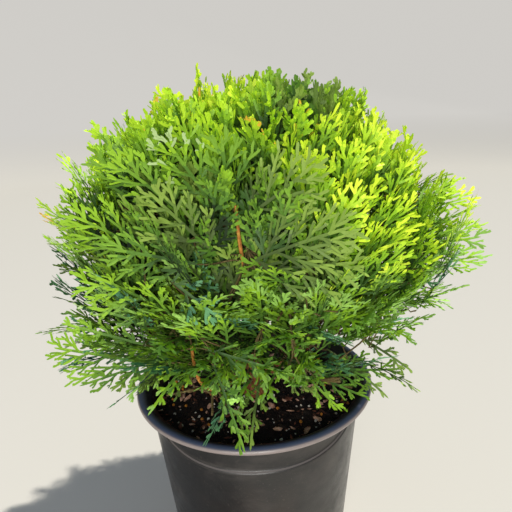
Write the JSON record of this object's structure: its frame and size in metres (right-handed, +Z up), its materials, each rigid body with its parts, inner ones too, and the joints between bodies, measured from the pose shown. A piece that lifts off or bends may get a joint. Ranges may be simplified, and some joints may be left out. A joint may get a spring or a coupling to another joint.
{
  "type": "potted globe thuja",
  "caption": "Globe-shaped evergreen conifer with flat yellow-green fan sprays, growing in a round black nursery pot filled with soil.",
  "frame": {"origin": "centre of the pot's flat underside, on the surface the pot stands on", "axes": "+Z up along the pot's axis; -Y towards the front, the side the picture shows"},
  "size_m": [0.3864, 0.3294, 0.4683],
  "materials": {
    "pot_plastic": "thin black plastic with a soft sheen, lightly dusty, smoother on the rolled rim",
    "potting_soil": "moist peat and bark with white perlite and a few fertilizer grains",
    "bark": "fibrous red-brown bark, orange on young stems",
    "foliage_bright": "fresh yellow-green scale leaves, slightly waxy",
    "foliage_green": "mid green scale leaves, slightly waxy",
    "foliage_shade": "deep and bluish green scale leaves, dull"
  },
  "bodies": {
    "root": {"pot": "pot_plastic", "soil": "potting_soil", "trunk": "bark", "bough_upper_1": "bark", "bough_upper_2": "bark", "bough_upper_3": "bark", "bough_upper_4": "bark", "bough_upper_5": "bark", "bough_middle_1": "bark", "bough_middle_2": "bark", "bough_middle_3": "bark", "bough_middle_4": "bark", "bough_middle_5": "bark", "bough_middle_6": "bark", "bough_middle_7": "bark", "bough_middle_8": "bark", "bough_lower_1": "bark", "bough_lower_2": "bark", "bough_lower_3": "bark", "bough_lower_4": "bark", "bough_lower_5": "bark", "bough_lower_6": "bark", "bough_lower_7": "bark", "bough_low_1": "bark", "bough_low_2": "bark", "bough_low_3": "bark", "bough_low_4": "bark", "bough_low_5": "bark", "crown_top": "foliage_bright", "crown_upper_1": "foliage_bright", "crown_upper_2": "foliage_bright", "crown_upper_3": "foliage_bright", "crown_upper_4": "foliage_bright", "crown_upper_5": "foliage_bright", "crown_middle_1": "foliage_green", "crown_middle_2": "foliage_green", "crown_middle_3": "foliage_green", "crown_middle_4": "foliage_green", "crown_middle_5": "foliage_green", "crown_middle_6": "foliage_green", "crown_middle_7": "foliage_green", "crown_middle_8": "foliage_green", "crown_lower_1": "foliage_shade", "crown_lower_2": "foliage_shade", "crown_lower_3": "foliage_shade", "crown_lower_4": "foliage_shade", "crown_lower_5": "foliage_shade", "crown_lower_6": "foliage_shade", "crown_lower_7": "foliage_shade", "skirt_1": "foliage_shade", "skirt_2": "foliage_shade", "skirt_3": "foliage_shade", "skirt_4": "foliage_shade", "skirt_5": "foliage_shade"}
  },
  "joints": []
}
